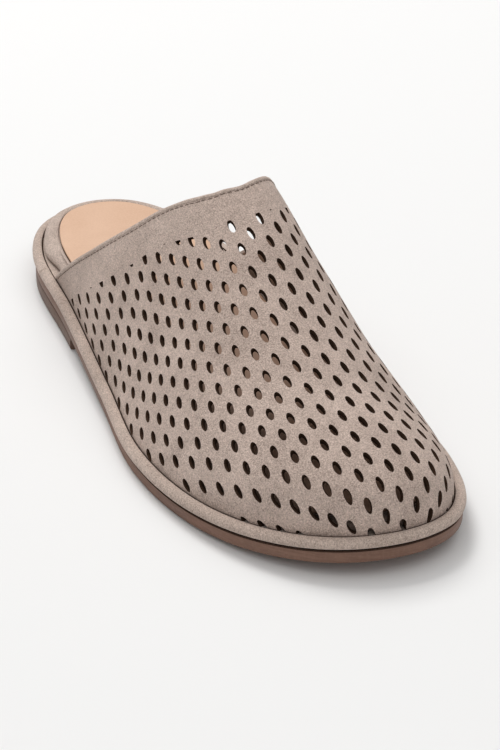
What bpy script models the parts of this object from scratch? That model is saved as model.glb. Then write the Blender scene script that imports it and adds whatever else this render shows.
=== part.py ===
"""Suede mule for the right foot: perforated vamp, open heel, wrapped footbed and low stacked heel.

Frame: +X runs from heel to toe, +Y to the wearer's left, which is the inner side of this shoe,
and +Z up. The origin lies on the floor, under the middle of the sole's box. Lengths are in metres.
"""

import bmesh
import bpy
import numpy as np

# Driving dimensions
SOLE_LENGTH = 0.260
HEEL_LIFT = 0.0052
TOE_SPRING = 0.0059
OUTSOLE_THICKNESS = 0.0048
WELT_THICKNESS = 0.0036
FOOTBED_THICKNESS = 0.0046
INSOLE_THICKNESS = 0.0012
UPPER_WALL = 0.0018
GAP = 0.0003

# Insets from the welt's edge, which is the widest line of the shoe
SOLE_INSET = 0.0009
UPPER_INSET = 0.0039
FOOTBED_HEEL_INSET = 0.0043
FOOTBED_FRONT_INSET = 0.0066
INSOLE_INSET = 0.0101

# Edges broken on the hard pieces
EDGE_BREAK = 0.0006
INSOLE_BREAK = 0.0003

# Lengthwise places, as shares of the sole's length from the heel
SEAT_END = 0.22
BALL_START = 0.62
TOE_LIFT_START = 0.70
BREAST_LATERAL = 0.322
BREAST_MEDIAL = 0.363

# How far before the collar's ends the footbed's side steps in, to pass inside the upper
FOOTBED_STEP_START = 0.020
FOOTBED_STEP_END = 0.004

# Plan of the welt's edge: breadth to each side of the centre line at shares of the length
PLAN_COLUMNS = ("station", "lateral", "medial")
PLAN = (
    (0.030, 0.0196, 0.0194),
    (0.120, 0.0317, 0.0323),
    (0.300, 0.0378, 0.0374),
    (0.500, 0.0447, 0.0374),
    (0.660, 0.0503, 0.0415),
    (0.780, 0.0476, 0.0434),
    (0.870, 0.0402, 0.0390),
    (0.935, 0.0295, 0.0322),
    (0.980, 0.0156, 0.0222),
)
HEEL_POINT_Y = -0.0003
TOE_POINT_Y = 0.0046

# Cross sections of the upper, from the toe back. The ridge stands over a share of the breadth
# counted from the outer side. A fullness of 2 bows a flank as an ellipse does, 1 makes it straight.
SECTION_COLUMNS = ("from_toe", "ridge_height", "ridge_share", "lateral_fullness", "medial_fullness")
SECTIONS = (
    (0.005, 0.0134, 0.470, 2.40, 2.10),
    (0.015, 0.0194, 0.470, 2.25, 2.10),
    (0.030, 0.0248, 0.470, 1.90, 1.85),
    (0.050, 0.0313, 0.480, 1.53, 1.65),
    (0.075, 0.0420, 0.515, 1.27, 1.76),
    (0.105, 0.0570, 0.552, 1.10, 2.00),
    (0.135, 0.0688, 0.567, 1.18, 2.15),
    (0.165, 0.0693, 0.580, 1.55, 2.25),
    (0.200, 0.0677, 0.590, 1.90, 2.33),
)
RIDGE_ROUNDING = 0.22

# The collar's edge: how far from the heel it lies at angles over the section, from the outer
# feather line at 0 degrees over the ridge at 90 to the inner feather line at 180
COLLAR_COLUMNS = ("angle", "from_heel")
COLLAR = (
    (0, 0.0540),
    (15, 0.0730),
    (30, 0.0908),
    (45, 0.1054),
    (58, 0.1166),
    (66, 0.1244),
    (75, 0.1307),
    (83, 0.1335),
    (90, 0.1339),
    (98, 0.1320),
    (106, 0.1292),
    (114, 0.1256),
    (130, 0.1180),
    (147, 0.1080),
    (163, 0.0945),
    (172, 0.0820),
    (180, 0.0665),
)

# Perforations: ovals in staggered rows and in columns. Behind the ball's section a column keeps its
# girth from a middle line, which swings outwards in plan by a share of its distance from the heel;
# ahead of it the column runs straight on in plan. A row is nearest the toe at its middle and drops
# back towards the heel down both sides, as an arc that runs out into a slant. The ovals point
# forwards and down, more so the more the surface faces the toe, and splay by an angle for each
# length of girth from the middle.
HOLE_LENGTH = 0.0053
HOLE_BREADTH = 0.0024
HOLE_DIP = 0.35
TOE_DIP = 0.60
HOLE_SPLAY = 3.0
BALL_SECTION = 0.190
MIDDLE_SWING = 0.03
MIDDLE_COLUMN = 0.0008
COLUMN_PITCH = 0.01034
COLUMN_REACH = 8
FIRST_ROW = 0.0686
ROW_PITCH = 0.00977
ROW_COUNT = 19
ROW_ARC = 0.0237
ROW_SLANT = 0.645
PLAIN_BAND = 0.0120
FEATHER_MARGIN = 0.0050
PUNCH_REACH = 0.0035

# Edge profiles from the underside up: inset from the piece's own line, share of its thickness
WELT_PROFILE = (
    (0.0016, 0.00),
    (0.0004, 0.12),
    (0.0000, 0.42),
    (0.0003, 0.72),
    (0.0012, 0.93),
    (0.0026, 1.00),
)
FOOTBED_PROFILE = (
    (0.0003, 0.00),
    (0.0000, 0.15),
    (0.0002, 0.42),
    (0.0008, 0.63),
    (0.0018, 0.81),
    (0.0030, 0.93),
)

# Mesh density
OUTLINE_POINTS = 72
HEEL_POINTS = 14
GIRTH_STEPS = 32
LENGTH_STEPS = 28
TOE_CROWDING = 1.7
FEATHER_SAMPLES = 1440
HOLE_SIDES = 8
SHARP_ANGLE = 35
MAP_LENGTHS = 240
MAP_ANGLES = 180
RIDGE_CROWDING = 2.5

# Colour in linear RGB and roughness of each material
SUEDE = ((0.42, 0.33, 0.27), 0.95)
TAN_LEATHER = ((0.72, 0.48, 0.32), 0.60)
BROWN_SOLE = ((0.16, 0.09, 0.06), 0.55)


def clear_scene():
    for item in list(bpy.data.objects):
        bpy.data.objects.remove(item, do_unlink=True)


def column(table, columns, name):
    return np.array([row[columns.index(name)] for row in table], float)


def smoothstep(value):
    value = np.clip(value, 0.0, 1.0)
    return value * value * (3.0 - 2.0 * value)


def hermite(at, knots, values, slopes):
    """Cubic through the knots with the given slopes there."""
    k = np.clip(np.searchsorted(knots, at, side="right") - 1, 0, len(knots) - 2)
    width = knots[k + 1] - knots[k]
    u = (at - knots[k]) / width
    start = (1 + 2 * u) * (1 - u) ** 2 * values[k] + u * (1 - u) ** 2 * width * slopes[k]
    end = u * u * (3 - 2 * u) * values[k + 1] + u * u * (u - 1) * width * slopes[k + 1]
    return start + end


def fair_curve(at, knots, values):
    """Smooth curve through a table that makes no bump between its rows."""
    rise = np.diff(values) / np.diff(knots)
    slopes = np.r_[rise[0], np.zeros(len(knots) - 2), rise[-1]]
    same_way = rise[:-1] * rise[1:] > 0
    both = np.where(same_way, rise[:-1] + rise[1:], 1.0)
    slopes[1:-1] = np.where(same_way, 2 * rise[:-1] * rise[1:] / both, 0.0)
    return hermite(np.clip(at, knots[0], knots[-1]), knots, values, slopes)


def plan_knots():
    """The welt's edge as breadth over a full turn: heel, outer side, toe, inner side."""
    lateral, medial = (column(PLAN, PLAN_COLUMNS, name) for name in ("lateral", "medial"))
    turn = np.arccos(1 - 2 * column(PLAN, PLAN_COLUMNS, "station"))
    turns = np.r_[0.0, turn, np.pi, 2 * np.pi - turn[::-1]]
    breadths = np.r_[HEEL_POINT_Y, -lateral, TOE_POINT_Y, medial[::-1]]
    return turns, breadths


def welt_edge(turn):
    """Plan points of the welt's edge. Turns that make a full one together lie level along the shoe."""
    turns, breadths = plan_knots()
    knots = np.r_[turns[-2:] - 2 * np.pi, turns, turns[:3] + 2 * np.pi]
    values = np.r_[breadths[-2:], breadths, breadths[:3]]
    steps = np.diff(knots)
    rise = np.diff(values) / steps
    inner = (steps[1:] * rise[:-1] + steps[:-1] * rise[1:]) / (steps[1:] + steps[:-1])
    slopes = np.r_[rise[0], inner, rise[-1]]
    return np.stack([SOLE_LENGTH / 2 * (1 - np.cos(turn)), hermite(turn, knots, values, slopes)], axis=-1)


def edge_line(turn, inset):
    """The welt's edge moved inwards, square to itself."""
    small = 1e-4
    along = welt_edge(turn + small) - welt_edge(turn - small)
    along /= np.linalg.norm(along, axis=-1, keepdims=True)
    inwards = np.stack([-along[..., 1], along[..., 0]], axis=-1)
    return welt_edge(turn) + inwards * np.broadcast_to(inset, turn.shape)[..., None]


def full_turn(count):
    return np.arange(count) * 2 * np.pi / count


def tread_height(x):
    """Underside of the outsole: raised seat, arch, flat ball and toe spring."""
    share = np.asarray(x) / SOLE_LENGTH
    arch = smoothstep((share - SEAT_END) / (BALL_START - SEAT_END))
    toe = np.maximum(0.0, (share - TOE_LIFT_START) / (1 - TOE_LIFT_START))
    return HEEL_LIFT * (1 - arch) + TOE_SPRING * toe**2


def welt_floor(x):
    return tread_height(x) + OUTSOLE_THICKNESS


def feather_height(x):
    """Top of the welt, on which upper and footbed sit."""
    return welt_floor(x) + WELT_THICKNESS


def at_height(plan, base, rise):
    """Plan points lifted to a height above a base that follows the sole."""
    return np.column_stack([plan, base(plan[:, 0]) + rise])


def sole_ring(inset, base, rise):
    return at_height(edge_line(full_turn(OUTLINE_POINTS), inset), base, rise)


def box_middle():
    edge = welt_edge(full_turn(OUTLINE_POINTS))
    return (edge.min(axis=0) + edge.max(axis=0)) / 2


def add_solid(name, points, faces, material):
    mesh = bpy.data.meshes.new(name)
    middle = np.r_[box_middle(), 0.0]
    mesh.from_pydata((np.asarray(points) - middle).tolist(), [], faces)
    shaped = bmesh.new()
    shaped.from_mesh(mesh)
    bmesh.ops.recalc_face_normals(shaped, faces=shaped.faces)
    shaped.to_mesh(mesh)
    shaped.free()
    mesh.shade_smooth()
    mesh.set_sharp_from_angle(angle=np.radians(SHARP_ANGLE))
    if material:
        mesh.materials.append(material)
    solid = bpy.data.objects.new(name, mesh)
    bpy.context.scene.collection.objects.link(solid)
    return solid


def cap_faces(first, count, upwards):
    """Strips across a ring that starts at the heel, from each outer point to its inner partner."""
    faces = []
    for i in range(count // 2):
        corners = (i, i + 1, count - i - 1, (count - i) % count)
        face = [first + c for c in dict.fromkeys(corners)]
        faces.append(face if upwards else face[::-1])
    return faces


def plate(name, rings, material):
    """Solid through rings that run from the middle of its underside out, up and over to its top."""
    count = len(rings[0])
    faces = cap_faces(0, count, upwards=False)
    for level in range(len(rings) - 1):
        low, high = level * count, (level + 1) * count
        for i in range(count):
            j = (i + 1) % count
            faces.append([low + i, low + j, high + j, high + i])
    faces += cap_faces((len(rings) - 1) * count, count, upwards=True)
    return add_solid(name, np.concatenate(rings), faces, material)


def make_heel_lift(material):
    """Low block under the seat, cut off at a breast that slants across the sole."""
    lateral_end, medial_end = np.arccos(1 - 2 * np.array([BREAST_LATERAL, BREAST_MEDIAL]))
    outer = np.linspace(0, lateral_end, HEEL_POINTS)
    inner = np.linspace(2 * np.pi - medial_end, 2 * np.pi, HEEL_POINTS)[:-1]
    turn = np.r_[outer, inner]
    foot = edge_line(turn, SOLE_INSET + EDGE_BREAK)
    side = edge_line(turn, SOLE_INSET)
    rings = [
        np.column_stack([foot, np.zeros(len(turn))]),
        np.column_stack([side, np.full(len(turn), EDGE_BREAK)]),
        at_height(side, tread_height, -GAP),
    ]
    return plate("heel_lift", rings, material)


def make_outsole(material):
    top = OUTSOLE_THICKNESS - GAP
    profile = (
        (SOLE_INSET + EDGE_BREAK, 0.0),
        (SOLE_INSET, EDGE_BREAK),
        (SOLE_INSET, top - EDGE_BREAK),
        (SOLE_INSET + EDGE_BREAK, top),
    )
    return plate("outsole", [sole_ring(inset, tread_height, rise) for inset, rise in profile], material)


def make_welt(material):
    rings = [sole_ring(inset, welt_floor, share * WELT_THICKNESS) for inset, share in WELT_PROFILE]
    return plate("welt", rings, material)


def footbed_inset(turn):
    """Full breadth round the open heel, stepping in where the upper's wall stands outside it."""
    x = welt_edge(turn)[:, 0]
    ends = column(COLLAR, COLLAR_COLUMNS, "from_heel")
    collar_end = np.where(turn < np.pi, ends[0], ends[-1])
    start, stop = collar_end - FOOTBED_STEP_START, collar_end - FOOTBED_STEP_END
    step = smoothstep((x - start) / (stop - start))
    return FOOTBED_HEEL_INSET + (FOOTBED_FRONT_INSET - FOOTBED_HEEL_INSET) * step


def make_footbed(material):
    """Wrapped bed with a rounded rim and a shallow recess for the insole."""
    body = FOOTBED_THICKNESS - GAP
    side = footbed_inset(full_turn(OUTLINE_POINTS))
    profile = [(side + inset, GAP + share * body) for inset, share in FOOTBED_PROFILE]
    rings = [sole_ring(inset, feather_height, rise) for inset, rise in profile]
    recess = INSOLE_INSET - GAP
    rings.append(sole_ring(recess, feather_height, FOOTBED_THICKNESS))
    rings.append(sole_ring(recess, feather_height, FOOTBED_THICKNESS - INSOLE_THICKNESS - GAP))
    return plate("footbed", rings, material)


def make_insole(material):
    floor, top = FOOTBED_THICKNESS - INSOLE_THICKNESS, FOOTBED_THICKNESS
    profile = (
        (INSOLE_INSET, floor),
        (INSOLE_INSET, top - INSOLE_BREAK),
        (INSOLE_INSET + INSOLE_BREAK, top),
    )
    return plate("insole", [sole_ring(inset, feather_height, rise) for inset, rise in profile], material)


def feather_sides():
    """Plan of the upper's foot, as an outer and an inner line from the heel to the toe's tip."""
    line = edge_line(full_turn(FEATHER_SAMPLES), UPPER_INSET)
    heel, toe = line[:, 0].argmin(), line[:, 0].argmax()
    outer = np.roll(line, -heel, axis=0)[: (toe - heel) % FEATHER_SAMPLES + 1]
    inner = np.roll(line, -toe, axis=0)[: (heel - toe) % FEATHER_SAMPLES + 1][::-1]
    return outer, inner


class Last:
    """The upper's outer form, as a surface over distance from the heel and angle over the section."""

    def __init__(self):
        self.outer, self.inner = feather_sides()
        self.toe_tip = self.outer[-1, 0]
        self.knots = np.sqrt(column(SECTIONS, SECTION_COLUMNS, "from_toe"))

    def section_value(self, x, name):
        reach = np.sqrt(np.maximum(self.toe_tip - x, 0.0))
        values = column(SECTIONS, SECTION_COLUMNS, name)
        if name == "ridge_height":
            return fair_curve(reach, np.r_[0.0, self.knots], np.r_[0.0, values])
        return fair_curve(reach, self.knots, values)

    def point(self, x, angle):
        x, angle = np.broadcast_arrays(x, angle)
        outer = np.interp(x, *self.outer.T)
        inner = np.interp(x, *self.inner.T)
        ridge = outer + (inner - outer) * self.section_value(x, "ridge_share")
        on_outer = angle < np.pi / 2
        side = np.where(on_outer, outer, inner)
        fullness = [self.section_value(x, name) for name in ("lateral_fullness", "medial_fullness")]
        power = 2 / np.where(on_outer, *fullness)
        flat = np.abs(np.cos(angle)) ** power
        rounded = flat * (np.hypot(1, RIDGE_ROUNDING) - RIDGE_ROUNDING) + RIDGE_ROUNDING
        out = np.sqrt(np.maximum(rounded**2 - RIDGE_ROUNDING**2, 0.0))
        rise = self.section_value(x, "ridge_height") * np.abs(np.sin(angle)) ** power
        return np.stack([x, ridge + (side - ridge) * out, feather_height(x) + GAP + rise], axis=-1)

    def collar(self, angle):
        degrees = column(COLLAR, COLLAR_COLUMNS, "angle")
        return fair_curve(np.degrees(angle), degrees, column(COLLAR, COLLAR_COLUMNS, "from_heel"))


def upper_grids(last):
    """Outer and inner points of the upper's wall, from the collar (first row) to near the toe's tip."""
    angle = np.linspace(0, np.pi, GIRTH_STEPS + 1)
    back = np.linspace(1, 0, LENGTH_STEPS + 1)[:-1] ** TOE_CROWDING
    x = last.toe_tip - back[:, None] * (last.toe_tip - last.collar(angle))
    outer = last.point(x, angle[None])
    along, around = np.gradient(outer, axis=0), np.gradient(outer, axis=1)
    normal = np.cross(around, along)
    normal /= np.linalg.norm(normal, axis=-1, keepdims=True)
    normal *= np.sign(normal[0, GIRTH_STEPS // 2, 2])
    foot = normal[:, [0, -1]]
    foot[..., 2] = 0.0
    normal[:, [0, -1]] = foot / np.linalg.norm(foot, axis=-1, keepdims=True)
    return outer, outer - UPPER_WALL * normal


def make_upper(last, material):
    """Hollow vamp: an outer and an inner skin joined along the collar and along the feather line."""
    outer, inner = upper_grids(last)
    rows, columns = outer.shape[:2]
    tip = last.point(last.toe_tip, 0.0)
    inner_tip = tip - np.array([UPPER_WALL, 0.0, 0.0])
    points = np.concatenate([outer.reshape(-1, 3), inner.reshape(-1, 3), [tip, inner_tip]])
    skin = rows * columns
    tips = (2 * skin, 2 * skin + 1)

    def corner(layer, row, place):
        return tips[layer] if row == rows else layer * skin + row * columns + place

    faces = []
    for row in range(rows):
        for layer in (0, 1):
            for place in range(columns - 1):
                loop = [(row, place), (row, place + 1), (row + 1, place + 1), (row + 1, place)]
                face = list(dict.fromkeys(corner(layer, *at) for at in loop))
                faces.append(face if layer else face[::-1])
        for place in (0, columns - 1):
            face = [corner(0, row, place), corner(0, row + 1, place)]
            face += [corner(1, row + 1, place), corner(1, row, place)]
            faces.append(face)
    for place in range(columns - 1):
        face = [corner(0, 0, place), corner(0, 0, place + 1)]
        faces.append(face + [corner(1, 0, place + 1), corner(1, 0, place)])
    return add_solid("upper", points, faces, material)


def path_length(points, axis):
    steps = np.linalg.norm(np.diff(points, axis=axis), axis=-1)
    return np.insert(np.cumsum(steps, axis=axis), 0, 0.0, axis=axis)


class Field:
    """Finds places on the last by their column and by the way along it ahead of the ball's section."""

    def __init__(self, last):
        self.last = last
        back = np.linspace(0, 1, MAP_LENGTHS) ** TOE_CROWDING
        self.x = last.toe_tip - back * (last.toe_tip - column(COLLAR, COLLAR_COLUMNS, "from_heel").min())
        off_ridge = np.linspace(-1, 1, MAP_ANGLES + 1)
        self.angle = np.pi / 2 * (1 + np.sign(off_ridge) * np.abs(off_ridge) ** RIDGE_CROWDING)
        grid = last.point(self.x[:, None], self.angle[None])
        self.across = grid[..., 1]
        self.girth = path_length(grid, 1)
        self.collar = last.point(last.collar(self.angle), self.angle)
        self.ball = np.abs(self.x - BALL_SECTION).argmin()
        on_middle = self.angles_of(-MIDDLE_SWING * self.x, self.across)
        self.middle = np.array([np.interp(a, self.angle, row) for a, row in zip(on_middle, self.girth)])

    def angles_of(self, values, table):
        """Angle at which each section reaches a value of its row in a table."""
        return np.array([np.interp(value, row, self.angle) for value, row in zip(values, table)])

    def column(self, off_middle):
        """Angles along a column, and the way along it ahead of the ball's section."""
        angle = self.angles_of(self.middle + off_middle, self.girth)
        start = np.interp(angle[self.ball], self.angle, self.across[self.ball])
        ahead = self.x - self.x[self.ball]
        straight = self.angles_of(start - MIDDLE_SWING * ahead, self.across)
        angle = np.where(ahead > 0, straight, angle)
        run = path_length(self.last.point(self.x, angle), 0)
        return angle, run[self.ball] - run

    def is_plain(self, x, angle):
        """Whether a place lies in the plain edge along the collar or the feather line."""
        girths = np.array([np.interp(-x, -self.x, line) for line in self.girth.T])
        girth = np.interp(angle, self.angle, girths)
        if girth < FEATHER_MARGIN or girth > girths[-1] - FEATHER_MARGIN:
            return True
        from_collar = np.linalg.norm(self.collar - self.last.point(x, angle), axis=-1).min()
        return x < self.last.collar(angle) or from_collar < PLAIN_BAND + HOLE_LENGTH / 2

    def frame(self, x, angle, splay):
        """A point of the surface, with the ways along, across and out of an oval there."""
        small = 1e-4
        centre = self.last.point(x, angle)
        along = self.last.point(x + small, angle) - self.last.point(x - small, angle)
        around = self.last.point(x, angle + small) - self.last.point(x, angle - small)
        outwards = np.cross(along, around)
        outwards /= np.linalg.norm(outwards)
        dip = HOLE_DIP + TOE_DIP * outwards[0] ** 2
        forwards = np.array([np.cos(splay), np.sin(splay), -dip])
        forwards -= outwards * (outwards @ forwards)
        forwards /= np.linalg.norm(forwards)
        return centre, forwards, np.cross(outwards, forwards), outwards


def perforations(field):
    """Frames of the perforations, column by column, every second place of a column left whole."""
    found = []
    for step in range(-COLUMN_REACH, COLUMN_REACH + 1):
        off_middle = step * COLUMN_PITCH
        angle, run = field.column(MIDDLE_COLUMN + off_middle)
        drop = np.hypot(ROW_ARC, ROW_SLANT * off_middle) - ROW_ARC
        for row in range(step % 2, ROW_COUNT, 2):
            ahead = FIRST_ROW - row * ROW_PITCH - drop
            at = [np.interp(-ahead, -run, values) for values in (field.x, angle)]
            if not field.is_plain(*at):
                found.append(field.frame(*at, HOLE_SPLAY * off_middle))
    return found


def make_punch(last):
    """Oval pegs through the upper's wall, one at each perforation."""
    turn = full_turn(HOLE_SIDES) + np.pi / HOLE_SIDES
    points, faces = [], []
    for centre, forwards, across, outwards in perforations(Field(last)):
        oval = np.outer(np.cos(turn), forwards * HOLE_LENGTH / 2)
        oval += np.outer(np.sin(turn), across * HOLE_BREADTH / 2)
        first = len(points)
        points.extend(centre + oval - outwards * PUNCH_REACH)
        points.extend(centre + oval + outwards * PUNCH_REACH)
        low, high = range(first, first + HOLE_SIDES), range(first + HOLE_SIDES, first + 2 * HOLE_SIDES)
        faces += [list(low)[::-1], list(high)]
        for i in range(HOLE_SIDES):
            j = (i + 1) % HOLE_SIDES
            faces.append([low[i], low[j], high[j], high[i]])
    punch = add_solid("punch", points, faces, None)
    punch.hide_render = True
    punch.display_type = "WIRE"
    return punch


def perforate(upper, punch):
    cut = upper.modifiers.new("perforations", "BOOLEAN")
    cut.operation = "DIFFERENCE"
    cut.solver = "EXACT"
    cut.object = punch


def finish(name, colour, roughness):
    material = bpy.data.materials.new(name)
    material.use_nodes = True
    shader = material.node_tree.nodes["Principled BSDF"]
    shader.inputs["Base Color"].default_value = (*colour, 1.0)
    shader.inputs["Roughness"].default_value = roughness
    shader.inputs["Metallic"].default_value = 0.0
    material.diffuse_color = (*colour, 1.0)
    return material


def main():
    clear_scene()
    make_heel_lift(finish("heel_lift_stack", *BROWN_SOLE))
    make_outsole(finish("outsole_rubber", *BROWN_SOLE))
    make_welt(finish("welt_suede", *SUEDE))
    make_footbed(finish("footbed_suede", *SUEDE))
    make_insole(finish("insole_leather", *TAN_LEATHER))
    last = Last()
    upper = make_upper(last, finish("upper_suede", *SUEDE))
    perforate(upper, make_punch(last))


main()
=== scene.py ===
"""Looks of the suede mule: a punched suede vamp with a turned collar on a wrapped footbed and welt,
a tan insole, a brown outsole and a low heel, on a pale studio floor.

Lengths are in metres. Shapes are worked out from the heel's end and set into the frame at the end.
"""

import bmesh
import bpy
import numpy as np
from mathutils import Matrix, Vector


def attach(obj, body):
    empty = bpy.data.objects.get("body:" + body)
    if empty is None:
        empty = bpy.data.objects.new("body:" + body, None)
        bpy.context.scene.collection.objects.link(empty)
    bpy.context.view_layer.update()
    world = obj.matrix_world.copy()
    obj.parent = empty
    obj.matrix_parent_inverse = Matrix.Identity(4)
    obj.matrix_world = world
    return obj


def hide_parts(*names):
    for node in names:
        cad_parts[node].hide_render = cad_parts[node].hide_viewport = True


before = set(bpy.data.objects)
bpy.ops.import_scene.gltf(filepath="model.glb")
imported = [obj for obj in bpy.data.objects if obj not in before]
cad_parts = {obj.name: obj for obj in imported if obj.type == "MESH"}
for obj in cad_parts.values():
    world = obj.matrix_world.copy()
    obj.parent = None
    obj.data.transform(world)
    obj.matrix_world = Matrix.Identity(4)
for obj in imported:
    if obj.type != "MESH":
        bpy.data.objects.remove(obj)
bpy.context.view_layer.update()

# Sizes shared with the solids
SOLE_LENGTH = 0.260
HEEL_LIFT = 0.0052
TOE_SPRING = 0.0059
OUTSOLE_THICKNESS = 0.0048
WELT_THICKNESS = 0.0036
FOOTBED_THICKNESS = 0.0046
INSOLE_THICKNESS = 0.0012
GAP = 0.0003
SOLE_INSET = 0.0009
UPPER_INSET = 0.0039
FOOTBED_HEEL_INSET = 0.0043
FOOTBED_FRONT_INSET = 0.0066
INSOLE_INSET = 0.0101
SEAT_END = 0.22
BALL_START = 0.62
TOE_LIFT_START = 0.70
BREAST_LATERAL = 0.322
BREAST_MEDIAL = 0.363
FOOTBED_STEP_START = 0.020
FOOTBED_STEP_END = 0.004
BOX_POINTS = 72

# Breadth of the welt's edge to each side of the centre line at shares of the length
PLAN_COLUMNS = ("station", "lateral", "medial")
PLAN = (
    (0.030, 0.0196, 0.0194),
    (0.120, 0.0317, 0.0323),
    (0.300, 0.0378, 0.0374),
    (0.500, 0.0447, 0.0374),
    (0.660, 0.0503, 0.0415),
    (0.780, 0.0476, 0.0434),
    (0.870, 0.0402, 0.0390),
    (0.935, 0.0295, 0.0322),
    (0.980, 0.0156, 0.0222),
)
HEEL_POINT_Y = -0.0003
TOE_POINT_Y = 0.0046

# Cross sections of the vamp from the toe back
SECTION_COLUMNS = ("from_toe", "ridge_height", "ridge_share", "lateral_fullness", "medial_fullness")
SECTIONS = (
    (0.005, 0.0134, 0.470, 2.40, 2.10),
    (0.015, 0.0194, 0.470, 2.25, 2.10),
    (0.030, 0.0248, 0.470, 1.90, 1.85),
    (0.050, 0.0313, 0.480, 1.53, 1.65),
    (0.075, 0.0420, 0.515, 1.27, 1.76),
    (0.105, 0.0570, 0.552, 1.10, 2.00),
    (0.135, 0.0688, 0.567, 1.18, 2.15),
    (0.165, 0.0693, 0.580, 1.55, 2.25),
    (0.200, 0.0677, 0.590, 1.90, 2.33),
)
RIDGE_ROUNDING = 0.22

# The collar's edge over the section, from the outer feather line over the ridge to the inner one
COLLAR_COLUMNS = ("angle", "from_heel")
COLLAR = (
    (0, 0.0540),
    (15, 0.0730),
    (30, 0.0908),
    (45, 0.1054),
    (58, 0.1166),
    (66, 0.1244),
    (75, 0.1307),
    (83, 0.1335),
    (90, 0.1339),
    (98, 0.1320),
    (106, 0.1292),
    (114, 0.1256),
    (130, 0.1180),
    (147, 0.1080),
    (163, 0.0945),
    (172, 0.0820),
    (180, 0.0665),
)

# Punched holes: ovals in staggered rows and in columns. Behind the ball's section a column keeps its
# girth from a middle line, which swings outwards in plan; ahead of it the column runs straight on in
# plan. Rows drop back down both sides. The ovals point forwards and down and splay off the middle.
HOLE_LENGTH = 0.0050
HOLE_BREADTH = 0.00205
HOLE_DIP = 0.35
TOE_DIP = 0.60
HOLE_SPLAY = 3.0
BALL_SECTION = 0.190
MIDDLE_SWING = 0.03
MIDDLE_COLUMN = 0.0008
HALF_COLUMN = 0.00517
COLUMN_REACH = 19
FIRST_ROW = 0.0881
HALF_ROW = 0.004886
ROW_COUNT = 44
ROW_ARC = 0.0237
ROW_SLANT = 0.645
PLAIN_BAND = 0.0118
HOLE_CLEARANCE = 0.0052
FOOT_OVERHANG = 0.0022
HOLE_SIDES = 20

# The peg that punches a hole: height over the hide, and its length and breadth as shares of the hole's
PEG_LEVELS = (
    (-0.0030, 1.00, 1.00),
    (-0.0005, 1.00, 1.00),
    (0.0000, 1.05, 1.11),
    (0.0010, 1.25, 1.55),
)

# The vamp's hide, cut and punched flat before it is drawn over the last
VAMP_WALL = 0.0018
VAMP_CELL = 0.0019
FOOT_TUCK = 0.0012
VAMP_JOIN = 0.00002
CUT_DEPTH = 0.02
PUNCH_REACH = 0.004
TIP_ROWS = 2
FLAT_FACE = 0.85
MAP_LENGTHS = 360
MAP_ANGLES = 260
RIDGE_CROWDING = 2.5
TOE_CROWDING = 1.7
FEATHER_SAMPLES = 1440

# Painted shade in the crease at the vamp's foot: heights over the feather line, kept in an attribute of the
# vamp, and its tint
CREASE_FLOOR = -0.00045
CREASE_TOP = -0.00005
CREASE_PAINTED_SHADE = (0.20, 0.15, 0.13)
FOOT_RISE = "foot_rise"

# The collar's turned edge and its line of stitches
COLLAR_STATIONS = 260
STITCH_LINE = 0.0016
STITCH_PITCH = 0.0023
STITCH_LENGTH = 0.0019
STITCH_WIDTH = 0.00032
STITCH_MARGIN = 0.004

# The sole's outline, the air left between its pieces and the joint of the welt's wrapping
OUTLINE_POINTS = 300
HEEL_POINTS = 71
PIECE_GAP = 0.0001
FOOTBED_SINK = 0.0004
INSOLE_STAND = 0.0002
WRAP_JOINT_X = 0.0455
WRAP_JOINT_WIDTH = 0.0004
WRAP_JOINT_DEPTH = 0.00035
WRAP_JOINT_POINTS = 13
WRAP_JOINT_TURN = 0.014

# The camera stands where the photo was taken from and looks at the middle of the shoe
CAMERA_PLACE = (0.7159, -0.3086, 0.4274)
CAMERA_AIM = (-0.8026, 0.3612, -0.4766)
CAMERA_LENS = 126.0

# Painted shade on the insole and the footbed under the vamp, out of the light: its tint, and where it
# starts and is full along the shoe
INSOLE_SHADE = (0.44, 0.40, 0.38)
INSOLE_SHADE_START = 0.056
INSOLE_SHADE_END = 0.092


def column(table, columns, name):
    return np.array([row[columns.index(name)] for row in table], float)


def smoothstep(value):
    value = np.clip(value, 0.0, 1.0)
    return value * value * (3.0 - 2.0 * value)


def hermite(at, knots, values, slopes):
    """Cubic through the knots with the given slopes there."""
    k = np.clip(np.searchsorted(knots, at, side="right") - 1, 0, len(knots) - 2)
    width = knots[k + 1] - knots[k]
    u = (at - knots[k]) / width
    start = (1 + 2 * u) * (1 - u) ** 2 * values[k] + u * (1 - u) ** 2 * width * slopes[k]
    end = u * u * (3 - 2 * u) * values[k + 1] + u * u * (u - 1) * width * slopes[k + 1]
    return start + end


def fair_curve(at, knots, values):
    """Smooth curve through a table that makes no bump between its rows."""
    rise = np.diff(values) / np.diff(knots)
    slopes = np.r_[rise[0], np.zeros(len(knots) - 2), rise[-1]]
    same_way = rise[:-1] * rise[1:] > 0
    both = np.where(same_way, rise[:-1] + rise[1:], 1.0)
    slopes[1:-1] = np.where(same_way, 2 * rise[:-1] * rise[1:] / both, 0.0)
    return hermite(np.clip(at, knots[0], knots[-1]), knots, values, slopes)


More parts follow.
